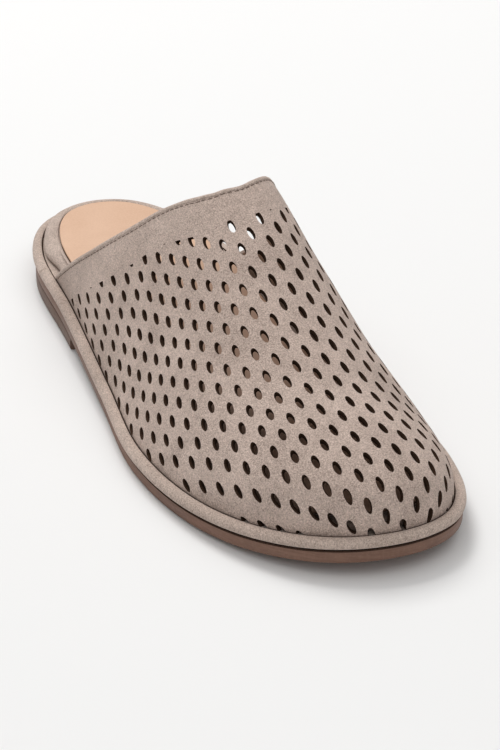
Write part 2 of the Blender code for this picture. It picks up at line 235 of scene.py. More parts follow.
def welt_edge(turn):
    """Plan points of the welt's edge over a full turn: heel, outer side, toe, inner side."""
    lateral, medial = (column(PLAN, PLAN_COLUMNS, name) for name in ("lateral", "medial"))
    at = np.arccos(1 - 2 * column(PLAN, PLAN_COLUMNS, "station"))
    turns = np.r_[0.0, at, np.pi, 2 * np.pi - at[::-1]]
    breadths = np.r_[HEEL_POINT_Y, -lateral, TOE_POINT_Y, medial[::-1]]
    knots = np.r_[turns[-2:] - 2 * np.pi, turns, turns[:3] + 2 * np.pi]
    values = np.r_[breadths[-2:], breadths, breadths[:3]]
    steps = np.diff(knots)
    rise = np.diff(values) / steps
    inner = (steps[1:] * rise[:-1] + steps[:-1] * rise[1:]) / (steps[1:] + steps[:-1])
    slopes = np.r_[rise[0], inner, rise[-1]]
    return np.stack([SOLE_LENGTH / 2 * (1 - np.cos(turn)), hermite(turn, knots, values, slopes)], axis=-1)


def edge_line(turn, inset):
    """The welt's edge moved inwards, square to itself."""
    small = 1e-4
    along = welt_edge(turn + small) - welt_edge(turn - small)
    along /= np.linalg.norm(along, axis=-1, keepdims=True)
    inwards = np.stack([-along[..., 1], along[..., 0]], axis=-1)
    return welt_edge(turn) + inwards * np.broadcast_to(inset, turn.shape)[..., None]


def full_turn(count):
    return np.arange(count) * 2 * np.pi / count


def tread_height(x):
    """Underside of the outsole: raised seat, arch, flat ball and toe spring."""
    share = np.asarray(x) / SOLE_LENGTH
    arch = smoothstep((share - SEAT_END) / (BALL_START - SEAT_END))
    toe = np.maximum(0.0, (share - TOE_LIFT_START) / (1 - TOE_LIFT_START))
    return HEEL_LIFT * (1 - arch) + TOE_SPRING * toe**2


def welt_floor(x):
    return tread_height(x) + OUTSOLE_THICKNESS


def feather_height(x):
    """Top of the welt, on which vamp and footbed sit."""
    return welt_floor(x) + WELT_THICKNESS


def box_middle():
    edge = welt_edge(full_turn(BOX_POINTS))
    return np.r_[(edge.min(axis=0) + edge.max(axis=0)) / 2, 0.0]


FRAME_MIDDLE = box_middle()


class Last:
    """The vamp's outer form, as a surface over distance from the heel and angle over the section."""

    def __init__(self):
        line = edge_line(full_turn(FEATHER_SAMPLES), UPPER_INSET)
        heel, toe = line[:, 0].argmin(), line[:, 0].argmax()
        self.outer = np.roll(line, -heel, axis=0)[: (toe - heel) % FEATHER_SAMPLES + 1]
        self.inner = np.roll(line, -toe, axis=0)[: (heel - toe) % FEATHER_SAMPLES + 1][::-1]
        self.toe_tip = self.outer[-1, 0]
        self.knots = np.sqrt(column(SECTIONS, SECTION_COLUMNS, "from_toe"))

    def section_value(self, x, name):
        reach = np.sqrt(np.maximum(self.toe_tip - x, 0.0))
        values = column(SECTIONS, SECTION_COLUMNS, name)
        if name == "ridge_height":
            return fair_curve(reach, np.r_[0.0, self.knots], np.r_[0.0, values])
        return fair_curve(reach, self.knots, values)

    def point(self, x, angle):
        x, angle = np.broadcast_arrays(x, angle)
        outer = np.interp(x, *self.outer.T)
        inner = np.interp(x, *self.inner.T)
        ridge = outer + (inner - outer) * self.section_value(x, "ridge_share")
        on_outer = angle < np.pi / 2
        side = np.where(on_outer, outer, inner)
        fullness = [self.section_value(x, name) for name in ("lateral_fullness", "medial_fullness")]
        power = 2 / np.where(on_outer, *fullness)
        flat = np.abs(np.cos(angle)) ** power
        rounded = flat * (np.hypot(1, RIDGE_ROUNDING) - RIDGE_ROUNDING) + RIDGE_ROUNDING
        out = np.sqrt(np.maximum(rounded**2 - RIDGE_ROUNDING**2, 0.0))
        rise = self.section_value(x, "ridge_height") * np.abs(np.sin(angle)) ** power
        return np.stack([x, ridge + (side - ridge) * out, feather_height(x) + GAP + rise], axis=-1)

    def collar(self, angle):
        degrees = column(COLLAR, COLLAR_COLUMNS, "angle")
        return fair_curve(np.degrees(angle), degrees, column(COLLAR, COLLAR_COLUMNS, "from_heel"))


def path_length(points, axis):
    steps = np.linalg.norm(np.diff(points, axis=axis), axis=-1)
    return np.insert(np.cumsum(steps, axis=axis), 0, 0.0, axis=axis)


class Pattern:
    """The hide laid flat: length along the ridge from the toe, and girth out from the ridge."""

    CHUNK = 4000
    STEP = 0.0006

    def __init__(self, last):
        self.last = last
        back = np.linspace(0, 1, MAP_LENGTHS) ** TOE_CROWDING
        self.x = last.toe_tip - back * (last.toe_tip - column(COLLAR, COLLAR_COLUMNS, "from_heel").min())
        off_ridge = np.linspace(-1, 1, MAP_ANGLES + 1)
        self.angle = np.pi / 2 * (1 + np.sign(off_ridge) * np.abs(off_ridge) ** RIDGE_CROWDING)
        grid = last.point(self.x[:, None], self.angle[None])
        girth = path_length(grid, 1)
        on_ridge = MAP_ANGLES // 2
        self.ridge = path_length(grid[:, on_ridge], 0)
        self.girth = girth - girth[:, on_ridge : on_ridge + 1]
        self.across = grid[..., 1]
        self.ball = np.abs(self.x - BALL_SECTION).argmin()
        on_middle = self.angles_of(-MIDDLE_SWING * self.x, self.across)
        self.middle = np.array([np.interp(a, self.angle, row) for a, row in zip(on_middle, self.girth)])

    def angles_of(self, values, table):
        """Angle at which each section reaches a value of its row in a table."""
        return np.array([np.interp(value, row, self.angle) for value, row in zip(values, table)])

    def column(self, off_middle):
        """Flat line of a column of holes and the way along it ahead of the ball's section."""
        girth = self.middle + off_middle
        angle = self.angles_of(girth, self.girth)
        start = np.interp(angle[self.ball], self.angle, self.across[self.ball])
        low, high = self.girth[self.ball, [0, -1]]
        ahead = (self.x - self.x[self.ball]) * (low < girth[self.ball] < high)
        line = start - MIDDLE_SWING * ahead
        angle = np.where(ahead > 0, self.angles_of(line, self.across), angle)
        run = path_length(self.last.point(self.x, angle), 0)
        run = run[self.ball] - run
        on_last = self.flat(self.x, angle)[:, 1]
        past_outer, past_inner = line < self.across[:, 0], line > self.across[:, -1]
        past_foot = (ahead > 0) & (past_outer | past_inner)
        over = run - run[past_foot].min() if past_foot.any() else np.zeros(len(run))
        over = np.where(past_outer, -1.0, 1.0) * np.where(past_foot, over, 0.0)
        return np.stack([self.ridge, np.where(ahead > 0, on_last + over, girth)], axis=-1), run

    def flat(self, x, angle):
        """Where a place of the last lies on the flat hide."""
        k = np.interp(-x, -self.x, np.arange(MAP_LENGTHS))
        j = np.interp(angle, self.angle, np.arange(MAP_ANGLES + 1))
        k0 = np.minimum(k.astype(int), MAP_LENGTHS - 2)
        j0 = np.minimum(j.astype(int), MAP_ANGLES - 1)
        along, over = k - k0, j - j0
        near = self.girth[k0, j0] * (1 - over) + self.girth[k0, j0 + 1] * over
        far = self.girth[k0 + 1, j0] * (1 - over) + self.girth[k0 + 1, j0 + 1] * over
        length = np.interp(k, np.arange(MAP_LENGTHS), self.ridge)
        return np.stack([length, near * (1 - along) + far * along], axis=-1)

    def drawn(self, flat):
        """Points of the last under the flat hide. Past the feather line they run straight down."""
        if len(flat) > self.CHUNK:
            starts = range(0, len(flat), self.CHUNK)
            return np.concatenate([self.drawn(flat[i : i + self.CHUNK]) for i in starts])
        length, girth = flat.T
        k = np.interp(length, self.ridge, np.arange(MAP_LENGTHS))
        k0 = np.minimum(k.astype(int), MAP_LENGTHS - 2)
        share = (k - k0)[:, None]
        profile = self.girth[k0] * (1 - share) + self.girth[k0 + 1] * share
        low, high = profile[:, 0], profile[:, -1]
        inside = np.clip(girth, low, high)
        j0 = np.clip((profile < inside[:, None]).sum(axis=1) - 1, 0, MAP_ANGLES - 1)
        rows = np.arange(len(flat))
        before, after = profile[rows, j0], profile[rows, j0 + 1]
        j = j0 + np.clip((inside - before) / np.maximum(after - before, 1e-9), 0, 1)
        x = np.interp(k, np.arange(MAP_LENGTHS), self.x)
        points = self.last.point(x, np.interp(j, np.arange(MAP_ANGLES + 1), self.angle))
        points[:, 2] -= np.maximum.reduce([low - girth, girth - high, -length, np.zeros(len(flat))])
        return points

    def frame(self, flat):
        """Points on the last, the two ways that flat steps take there, and the way outwards."""
        step = np.eye(2) * self.STEP
        ways = [(self.drawn(flat + s) - self.drawn(flat - s)) / (2 * self.STEP) for s in step]
        outwards = np.cross(ways[1], ways[0])
        outwards /= np.maximum(np.linalg.norm(outwards, axis=-1, keepdims=True), 1e-12)
        return self.drawn(flat), ways, outwards


# Modelling by operators


def clear_selection():
    bpy.ops.object.select_all(action="DESELECT")


def pick(piece):
    """Makes a piece the only one selected."""
    clear_selection()
    piece.select_set(True)
    bpy.context.view_layer.objects.active = piece


def leave_outwards():
    """Turns all faces of the piece in edit mode outwards and leaves the mode."""
    bpy.ops.mesh.select_all(action="SELECT")
    bpy.ops.mesh.normals_make_consistent(inside=False)
    bpy.ops.object.mode_set(mode="OBJECT")


def start_ring(name, points):
    """A circle whose points are set on a piece's first line, ready to be extruded in edit mode."""
    clear_selection()
    bpy.ops.mesh.primitive_circle_add(vertices=len(points), radius=SOLE_LENGTH)
    piece = bpy.context.object
    piece.name = piece.data.name = name
    place = piece.data.attributes.new("place", "INT", "POINT")
    place.data.foreach_set("value", np.arange(len(points), dtype=np.int32))
    piece.data.vertices.foreach_set("co", np.asarray(points, np.float32).ravel())
    bpy.ops.object.mode_set(mode="EDIT")
    bpy.ops.mesh.select_all(action="SELECT")
    return piece


def extrude_to(points):
    """Extrudes the selected ring and sets the new one on its line."""
    bpy.ops.mesh.extrude_edges_move()
    mesh = bpy.context.object.data
    shaped = bmesh.from_edit_mesh(mesh)
    place = shaped.verts.layers.int["place"]
    for vertex in shaped.verts:
        if vertex.select:
            vertex.co = points[vertex[place]]
    bmesh.update_edit_mesh(mesh)


def cap_across(mesh, in_ring):
    """Closes a ring of points with strips from side to side."""
    shaped = bmesh.from_edit_mesh(mesh)
    shaped.verts.index_update()
    place = shaped.verts.layers.int["place"]
    ring = {vertex[place]: vertex for vertex in shaped.verts if in_ring(vertex)}
    count = len(ring)
    for i in range(count // 2):
        corners = dict.fromkeys((i, i + 1, count - i - 1, (count - i) % count))
        shaped.faces.new([ring[corner] for corner in corners])
    bmesh.update_edit_mesh(mesh)


def loft(name, rings):
    """A closed piece through rings that run from the middle of its underside out, up and over."""
    piece = start_ring(name, rings[0] - FRAME_MIDDLE)
    for ring in rings[1:]:
        extrude_to(ring - FRAME_MIDDLE)
    cap_across(piece.data, lambda vertex: vertex.select)
    cap_across(piece.data, lambda vertex: vertex.index < len(rings[0]))
    leave_outwards()
    return piece


def smooth(piece, degrees=38):
    pick(piece)
    bpy.ops.object.shade_smooth_by_angle(angle=np.radians(degrees))


def face_outwards(piece):
    pick(piece)
    bpy.ops.object.mode_set(mode="EDIT")
    leave_outwards()


def drop_slivers(piece, distance):
    """Joins points closer than a distance and removes slivers left as two faces on the same points."""
    shaped = bmesh.new()
    shaped.from_mesh(piece.data)
    bmesh.ops.remove_doubles(shaped, verts=shaped.verts, dist=distance)
    bmesh.ops.dissolve_degenerate(shaped, edges=shaped.edges, dist=distance)
    bmesh.ops.triangulate(shaped, faces=shaped.faces)
    on_points = {}
    for face in shaped.faces:
        on_points.setdefault(frozenset(face.verts), []).append(face)
    doubled = [face for faces in on_points.values() if len(faces) > 1 for face in faces]
    bmesh.ops.delete(shaped, geom=doubled, context="FACES")
    shaped.to_mesh(piece.data)
    shaped.free()


def apply_modifiers(piece):
    pick(piece)
    for modifier in list(piece.modifiers):
        bpy.ops.object.modifier_apply(modifier=modifier.name)


def cut(piece, tool, operation):
    boolean = piece.modifiers.new(tool.name, "BOOLEAN")
    boolean.operation = operation
    boolean.solver = "EXACT"
    boolean.object = tool
    apply_modifiers(piece)
    bpy.data.objects.remove(tool)


def set_on(piece, node, slot, *materials):
    """Gives a finished piece its finishes and its place in the frame."""
    for material in materials:
        piece.data.materials.append(material)
    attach(piece, "root")
    if node:
        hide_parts(node)


# Finishes


def set_inputs(node, **values):
    for name, value in values.items():
        node.inputs[name.replace("_", " ")].default_value = value
    return node


def new_group(name, inputs, outputs):
    tree = bpy.data.node_groups.new(name, "ShaderNodeTree")
    for label, kind in inputs:
        tree.interface.new_socket(label, in_out="INPUT", socket_type=kind)
    for label, kind in outputs:
        tree.interface.new_socket(label, in_out="OUTPUT", socket_type=kind)
    return tree, tree.nodes.new("NodeGroupInput"), tree.nodes.new("NodeGroupOutput")


def noise(tree, vector, scale, detail=2.0, roughness=0.55, distortion=0.0):
    node = tree.nodes.new("ShaderNodeTexNoise")
    set_inputs(node, Scale=scale, Detail=detail, Roughness=roughness, Distortion=distortion)
    tree.links.new(vector, node.inputs["Vector"])
    return node.outputs["Fac"]


def spread(tree, value, low, high, to_low=0.0, to_high=1.0):
    node = tree.nodes.new("ShaderNodeMapRange")
    set_inputs(node, From_Min=low, From_Max=high, To_Min=to_low, To_Max=to_high)
    tree.links.new(value, node.inputs["Value"])
    return node.outputs["Result"]


def reckon(tree, operation, first, second):
    node = tree.nodes.new("ShaderNodeMath")
    node.operation = operation
    for socket, value in zip(node.inputs, (first, second)):
        if isinstance(value, (int, float)):
            socket.default_value = value
        else:
            tree.links.new(value, socket)
    return node.outputs["Value"]


def weigh(tree, *parts):
    """Sum of values, each times its weight."""
    total = None
    for value, weight in parts:
        share = reckon(tree, "MULTIPLY", value, weight)
        total = share if total is None else reckon(tree, "ADD", total, share)
    return total


def blend(tree, share, first, second, way="MIX"):
    """Mixes two colours. The Mix node keeps its colour sockets at 6, 7 and 2."""
    node = tree.nodes.new("ShaderNodeMix")
    node.data_type = "RGBA"
    node.blend_type = way
    factor, a, b = node.inputs["Factor"], node.inputs[6], node.inputs[7]
    for socket, value in ((factor, share), (a, first), (b, second)):
        if isinstance(value, (int, float, tuple)):
            socket.default_value = value if not isinstance(value, tuple) else (*value, 1.0)
        else:
            tree.links.new(value, socket)
    return node.outputs[2]


def suede_nap_group():
    """Short brushed nap: broad lighter and darker strokes, mottling and fine fibre ends."""
    tree, given, put = new_group(
        "suede_nap",
        [("Vector", "NodeSocketVector"), ("Brushed", "NodeSocketColor"), ("Raised", "NodeSocketColor")],
        [("Color", "NodeSocketColor"), ("Roughness", "NodeSocketFloat"), ("Height", "NodeSocketFloat")],
    )
    vector = given.outputs["Vector"]
    strokes = spread(tree, noise(tree, vector, 55, 2.0, 0.5, 0.6), 0.32, 0.68)
    mottle = spread(tree, noise(tree, vector, 420, 3.0, 0.6), 0.30, 0.70)
    fibre = spread(tree, noise(tree, vector, 2100, 2.0, 0.7), 0.33, 0.67)
    share = weigh(tree, (strokes, 0.20), (mottle, 0.16), (fibre, 0.64))
    colour = blend(tree, share, given.outputs["Brushed"], given.outputs["Raised"])
    height = weigh(tree, (fibre, 0.7), (mottle, 0.5))
    tree.links.new(colour, put.inputs["Color"])
    tree.links.new(spread(tree, mottle, 0.0, 1.0, 0.86, 0.98), put.inputs["Roughness"])
    tree.links.new(height, put.inputs["Height"])
    return tree


def leather_grain_group():
    """Fine pored grain with soft clouding."""
    tree, given, put = new_group(
        "leather_grain",
        [("Vector", "NodeSocketVector"), ("Light", "NodeSocketColor"), ("Deep", "NodeSocketColor")],
        [("Color", "NodeSocketColor"), ("Roughness", "NodeSocketFloat"), ("Height", "NodeSocketFloat")],
    )
    vector = given.outputs["Vector"]
    cells = tree.nodes.new("ShaderNodeTexVoronoi")
    cells.feature = "DISTANCE_TO_EDGE"
    set_inputs(cells, Scale=900.0, Randomness=1.0)
    tree.links.new(vector, cells.inputs["Vector"])
    pores = spread(tree, cells.outputs["Distance"], 0.0, 0.22)
    clouds = spread(tree, noise(tree, vector, 45, 3.0, 0.55, 0.4), 0.30, 0.70)
    specks = spread(tree, noise(tree, vector, 1300, 2.0), 0.35, 0.75)
    sunk = reckon(tree, "SUBTRACT", 1.0, pores)
    share = weigh(tree, (clouds, 0.45), (specks, 0.22), (sunk, 0.20))
    tree.links.new(blend(tree, share, given.outputs["Light"], given.outputs["Deep"]), put.inputs["Color"])
    tree.links.new(spread(tree, clouds, 0.0, 1.0, 0.48, 0.62), put.inputs["Roughness"])
    tree.links.new(pores, put.inputs["Height"])
    return tree


def cut_edge_group():
    """Trimmed sole edge: fine lengthwise streaks, dulled and a little scuffed."""
    tree, given, put = new_group(
        "cut_edge",
        [("Vector", "NodeSocketVector"), ("Deep", "NodeSocketColor"), ("Worn", "NodeSocketColor")],
        [("Color", "NodeSocketColor"), ("Roughness", "NodeSocketFloat"), ("Height", "NodeSocketFloat")],
    )
    stretch = tree.nodes.new("ShaderNodeMapping")
    stretch.inputs["Scale"].default_value = (0.10, 0.10, 1.0)
    tree.links.new(given.outputs["Vector"], stretch.inputs["Vector"])
    streaks = spread(tree, noise(tree, stretch.outputs["Vector"], 1400, 3.0, 0.6), 0.30, 0.70)
    clouds = spread(tree, noise(tree, given.outputs["Vector"], 60, 3.0, 0.55), 0.32, 0.70)
    specks = spread(tree, noise(tree, given.outputs["Vector"], 1100, 2.0), 0.45, 0.80)
    share = weigh(tree, (streaks, 0.38), (clouds, 0.34), (specks, 0.22))
    tree.links.new(blend(tree, share, given.outputs["Deep"], given.outputs["Worn"]), put.inputs["Color"])
    tree.links.new(spread(tree, clouds, 0.0, 1.0, 0.46, 0.66), put.inputs["Roughness"])
    tree.links.new(streaks, put.inputs["Height"])
    return tree


def new_finish(name, group, first, second, bump, depth, **shader_values):
    """A material of one effect group between two shades, with its bump."""
    material = bpy.data.materials.new(name)
    material.use_nodes = True
    tree = material.node_tree
    shader = tree.nodes["Principled BSDF"]
    set_inputs(shader, **shader_values)
    where = tree.nodes.new("ShaderNodeTexCoord")
    effect = tree.nodes.new("ShaderNodeGroup")
    effect.node_tree = group
    vector, *shades = effect.inputs
    for socket, shade in zip(shades, (first, second)):
        socket.default_value = (*shade, 1.0)
    raised = tree.nodes.new("ShaderNodeBump")
    set_inputs(raised, Strength=bump, Distance=depth)
    tree.links.new(where.outputs["Object"], vector)
    tree.links.new(effect.outputs["Color"], shader.inputs["Base Color"])
    tree.links.new(effect.outputs["Roughness"], shader.inputs["Roughness"])
    tree.links.new(effect.outputs["Height"], raised.inputs["Height"])
    tree.links.new(raised.outputs["Normal"], shader.inputs["Normal"])
    material.diffuse_color = (*first, 1.0)
    return material


def painted_shade_ahead_group():
    """Painted shade: darkens a colour along the shoe, towards the toe, where the vamp keeps the light off.
    """
    tree, given, put = new_group(
        "paint_shade_ahead",
        [("Vector", "NodeSocketVector"), ("Color", "NodeSocketColor"), ("Shade", "NodeSocketColor")],
        [("Color", "NodeSocketColor")],
    )
    parts = tree.nodes.new("ShaderNodeSeparateXYZ")
    tree.links.new(given.outputs["Vector"], parts.inputs["Vector"])
    start, end = INSOLE_SHADE_START - FRAME_MIDDLE[0], INSOLE_SHADE_END - FRAME_MIDDLE[0]
    share = spread(tree, parts.outputs["X"], start, end)
    shaded_colour = blend(tree, share, given.outputs["Color"], given.outputs["Shade"], "MULTIPLY")
    tree.links.new(shaded_colour, put.inputs["Color"])
    return tree


def paint_shade_ahead(material, group, shade):
    """Puts the painted shade between a finish's colour and its shader."""
    tree = material.node_tree
    base = tree.nodes["Principled BSDF"].inputs["Base Color"]
    where = tree.nodes.new("ShaderNodeTexCoord")
    effect = tree.nodes.new("ShaderNodeGroup")
    effect.node_tree = group
    set_inputs(effect, Shade=(*shade, 1.0))
    tree.links.new(where.outputs["Object"], effect.inputs["Vector"])
    tree.links.new(base.links[0].from_socket, effect.inputs["Color"])
    tree.links.new(effect.outputs["Color"], base)


def paint_foot_crease_shade(material):
    """Paints shade onto a finish in the crease where the vamp's foot sinks beside the bead."""
    tree = material.node_tree
    base = tree.nodes["Principled BSDF"].inputs["Base Color"]
    rise = tree.nodes.new("ShaderNodeAttribute")
    rise.attribute_name = FOOT_RISE
    share = spread(tree, rise.outputs["Fac"], CREASE_FLOOR, CREASE_TOP, 1.0, 0.0)
    tree.links.new(blend(tree, share, base.links[0].from_socket, CREASE_PAINTED_SHADE, "MULTIPLY"), base)


SUEDE_NAP = suede_nap_group()
LEATHER_GRAIN = leather_grain_group()
CUT_EDGE = cut_edge_group()
PAINTED_SHADE_AHEAD = painted_shade_ahead_group()

SUEDE_SHEEN = dict(
    Sheen_Weight=0.25, Sheen_Roughness=0.45, Sheen_Tint=(0.96, 0.88, 0.82, 1.0), Specular_IOR_Level=0.12
)
VAMP_SUEDE = new_finish(
    "vamp_suede", SUEDE_NAP, (0.275, 0.204, 0.170), (0.860, 0.690, 0.602), 0.80, 0.00045,
    **SUEDE_SHEEN,
)
# Painted shade along the vamp's foot, where it meets the bead
paint_foot_crease_shade(VAMP_SUEDE)
WRAP_SUEDE = new_finish(
    "wrap_suede", SUEDE_NAP, (0.275, 0.207, 0.171), (0.790, 0.640, 0.555), 0.70, 0.00040,
    **SUEDE_SHEEN,
)
# Hole walls: the suede's dark raw cut edge, darkened towards black as painted shade inside the holes
PUNCHED_EDGE = new_finish(
    "punched_edge", SUEDE_NAP, (0.028, 0.015, 0.009), (0.080, 0.046, 0.031), 0.40, 0.0002,
    Specular_IOR_Level=0.05,
)
VAMP_LINING = new_finish(
    "vamp_lining", LEATHER_GRAIN, (0.300, 0.205, 0.150), (0.215, 0.142, 0.102), 0.30, 0.0002,
    Specular_IOR_Level=0.12,
)
INSOLE_LEATHER = new_finish(
    "insole_tan_leather", LEATHER_GRAIN, (0.740, 0.495, 0.350), (0.620, 0.390, 0.262), 0.14, 0.00012,
    Specular_IOR_Level=0.28,
)
FOOTBED_SUEDE = new_finish(
    "footbed_suede", SUEDE_NAP, (0.300, 0.226, 0.188), (0.840, 0.685, 0.598), 0.70, 0.00040,
    **SUEDE_SHEEN,
)
# Painted shade on the insole and the footbed towards the toe, under the vamp
paint_shade_ahead(INSOLE_LEATHER, PAINTED_SHADE_AHEAD, INSOLE_SHADE)
paint_shade_ahead(FOOTBED_SUEDE, PAINTED_SHADE_AHEAD, INSOLE_SHADE)
INSOLE_EDGE = new_finish(
    "insole_burnished_edge", LEATHER_GRAIN, (0.120, 0.062, 0.038), (0.075, 0.038, 0.024), 0.2, 0.0001,
    Specular_IOR_Level=0.25,
)
# Painted shade for the groove between welt and outsole and for the welt's crease by the vamp's foot
CREASE_SHADE = new_finish(
    "crease_shade", SUEDE_NAP, (0.030, 0.017, 0.012), (0.075, 0.045, 0.034), 0.3, 0.0001,
    Specular_IOR_Level=0.05,
)
OUTSOLE_BROWN = new_finish(
    "outsole_brown", CUT_EDGE, (0.152, 0.078, 0.052), (0.295, 0.170, 0.122), 0.25, 0.0001,
    Specular_IOR_Level=0.35,
)
HEEL_BROWN = new_finish(
    "heel_brown", CUT_EDGE, (0.120, 0.068, 0.048), (0.225, 0.142, 0.106), 0.25, 0.0001,
    Specular_IOR_Level=0.35,
)
STITCH_THREAD = new_finish(
    "stitch_thread", SUEDE_NAP, (0.095, 0.066, 0.052), (0.190, 0.140, 0.112), 0.3, 0.0001,
    Specular_IOR_Level=0.2,
)


# Sole pieces


def sole_turns():
    """Places round the outline, closer at the wrapping's joint and alike on both sides."""
    joint = np.arccos(1 - 2 * WRAP_JOINT_X / SOLE_LENGTH)
    near = joint + np.linspace(-1, 1, WRAP_JOINT_POINTS) * WRAP_JOINT_TURN
    half = np.unique(np.r_[np.linspace(0, np.pi, OUTLINE_POINTS // 2 + 1), near])
    return np.r_[half, 2 * np.pi - half[-2:0:-1]]


SOLE_TURNS = sole_turns()


def sole_ring(inset, base, rise):
    plan = edge_line(SOLE_TURNS, inset)
    return np.column_stack([plan, base(plan[:, 0]) + rise])


def shade_strips(piece, strips):
    """Gives the second finish, painted shade, to some of the strips between the rings of a sole piece."""
    for face in piece.data.polygons:
        face.material_index = int(face.index // len(SOLE_TURNS) in strips)


def make_heel_stack():
    """Low heel block under the seat, cut off at a breast that slants across the sole."""
    ends = np.arccos(1 - 2 * np.array([BREAST_LATERAL, BREAST_MEDIAL]))
    outer = np.linspace(0, ends[0], HEEL_POINTS)
    inner = np.linspace(2 * np.pi - ends[1], 2 * np.pi, HEEL_POINTS, endpoint=False)
    turns = np.r_[outer, inner]
    profile = ((0.0060, 0.0), (0.0018, 0.0), (0.0012, 0.0002), (0.0009, 0.0007))
    rings = []
    for inset, rise in profile:
        plan = edge_line(turns, inset)
        rings.append(np.column_stack([plan, np.full(len(turns), rise)]))
    for inset, drop in reversed(profile[1:]):
        plan = edge_line(turns, inset)
        rings.append(np.column_stack([plan, tread_height(plan[:, 0]) - PIECE_GAP - drop]))
    piece = loft("heel_stack", rings)
    smooth(piece)
    set_on(piece, "heel_lift", "heel_lift_stack", HEEL_BROWN)


def make_outsole():
    top = OUTSOLE_THICKNESS - PIECE_GAP
    profile = (
        (0.0080, 0.0),
        (0.0018, 0.0),
        (0.0012, 0.0002),
        (SOLE_INSET, 0.0007),
        (SOLE_INSET, top * 0.5),
        (SOLE_INSET, top - 0.0007),
        (0.0012, top - 0.0002),
        (0.0018, top),
        (0.0080, top),
    )
    piece = loft("outsole_slab", [sole_ring(inset, tread_height, rise) for inset, rise in profile])
    smooth(piece)
    set_on(piece, "outsole", "outsole_rubber", OUTSOLE_BROWN, CREASE_SHADE)
    # Painted shade on the outsole's top edge, in the groove under the welt
    shade_strips(piece, (5, 6, 7))


def joint_trough():
    """How far the wrapping sinks at its joint, by place round the outline."""
    x = welt_edge(SOLE_TURNS)[:, 0]
    sunk = WRAP_JOINT_DEPTH * np.exp(-(((x - WRAP_JOINT_X) / WRAP_JOINT_WIDTH) ** 2))
    return np.where(SOLE_TURNS < np.pi, sunk, 0.0)


def make_welt():
    """Suede rolled over a cord: a full bead that dips to a crease where vamp and footbed stand on it."""
    profile = (
        (0.0120, 0.02),
        (0.0018, 0.02),
        (0.0008, 0.06),
        (0.0002, 0.19),
        (0.0000, 0.36),
        (0.0001, 0.53),
        (0.0004, 0.70),
        (0.0009, 0.84),
        (0.0016, 0.94),
        (0.0023, 0.985),
        (0.0029, 0.98),
        (0.0034, 0.92),
        (0.0040, 0.78),
        (0.0080, 0.76),
    )
    sunk = joint_trough()
    rings = []
    for inset, share in profile:
        on_bead = float(inset < UPPER_INSET)
        rings.append(sole_ring(inset + sunk * on_bead, welt_floor, share * WELT_THICKNESS))
        rings[-1][:, 2] -= sunk * on_bead * share
    piece = loft("welt_bead", rings)
    smooth(piece)
    set_on(piece, "welt", "welt_suede", WRAP_SUEDE, CREASE_SHADE)
    # Painted shade under the welt's bead and in its crease by the vamp's foot
    shade_strips(piece, (0, 1, 11))


def footbed_inset(turn):
    """Full breadth round the open heel, stepping in where the vamp stands outside it."""
    x = welt_edge(turn)[:, 0]
    ends = column(COLLAR, COLLAR_COLUMNS, "from_heel")
    collar_end = np.where(turn < np.pi, ends[0], ends[-1])
    start, stop = collar_end - FOOTBED_STEP_START, collar_end - FOOTBED_STEP_END
    step = smoothstep((x - start) / (stop - start))
    return FOOTBED_HEEL_INSET + (FOOTBED_FRONT_INSET - FOOTBED_HEEL_INSET) * step


def make_footbed():
    """Suede drawn over a padded rim, with a shallow bed for the insole."""
    side = footbed_inset(SOLE_TURNS)
    profile = (
        (0.0060, 0.00),
        (0.0006, 0.00),
        (0.0002, 0.08),
        (0.0000, 0.20),
        (0.0001, 0.34),
        (0.0003, 0.48),
        (0.0008, 0.63),
        (0.0014, 0.755),
        (0.0022, 0.86),
        (0.0031, 0.935),
    )
    body = FOOTBED_THICKNESS + FOOTBED_SINK
    rings = []
    for inset, share in profile:
        rings.append(sole_ring(side + inset, feather_height, share * body - FOOTBED_SINK))
    bed = (
        (INSOLE_INSET - 0.0016, FOOTBED_THICKNESS - 0.00005),
        (INSOLE_INSET - 0.0009, FOOTBED_THICKNESS - 0.0001),
        (INSOLE_INSET - 0.0005, FOOTBED_THICKNESS - 0.0004),
        (INSOLE_INSET - 0.0004, FOOTBED_THICKNESS - INSOLE_THICKNESS),
        (INSOLE_INSET + 0.0060, FOOTBED_THICKNESS - INSOLE_THICKNESS),
    )
    rings += [sole_ring(inset, feather_height, rise) for inset, rise in bed]
    piece = loft("footbed_wrap", rings)
    smooth(piece)
    set_on(piece, "footbed", "footbed_suede", FOOTBED_SUEDE)


def make_insole():
    low = FOOTBED_THICKNESS - INSOLE_THICKNESS + PIECE_GAP
    top = FOOTBED_THICKNESS + INSOLE_STAND
    profile = (
        (INSOLE_INSET + 0.0040, low),
        (INSOLE_INSET, low),
        (INSOLE_INSET, top - 0.0004),
        (INSOLE_INSET + 0.0002, top - 0.0001),
        (INSOLE_INSET + 0.0006, top),
        (INSOLE_INSET + 0.0050, top),
    )
    piece = loft("insole_sock", [sole_ring(inset, feather_height, rise) for inset, rise in profile])
    smooth(piece)
    set_on(piece, "insole", "insole_leather", INSOLE_LEATHER, INSOLE_EDGE)
    for face in piece.data.polygons:
        face.material_index = int(face.normal.z < 0.5)


# The vamp


def flat_collar(pattern, count):
    angle = np.linspace(0, np.pi, count)
    return pattern.flat(pattern.last.collar(angle), angle)


def moved_in(line, distance):
    """A flat line moved square to itself, towards the toe."""
    along = np.gradient(line, axis=0)
    along /= np.linalg.norm(along, axis=-1, keepdims=True)
    return line + np.stack([-along[:, 1], along[:, 0]], axis=-1) * distance


def foot_lines(pattern, tuck):
    """Flat lines of the hide's foot on the outer and the inner side, from behind the toe's tip."""
    outer = np.stack([pattern.ridge, pattern.girth[:, 0] - tuck], axis=-1)
    inner = np.stack([pattern.ridge, pattern.girth[:, -1] + tuck], axis=-1)
    return outer[TIP_ROWS:], inner[TIP_ROWS:]


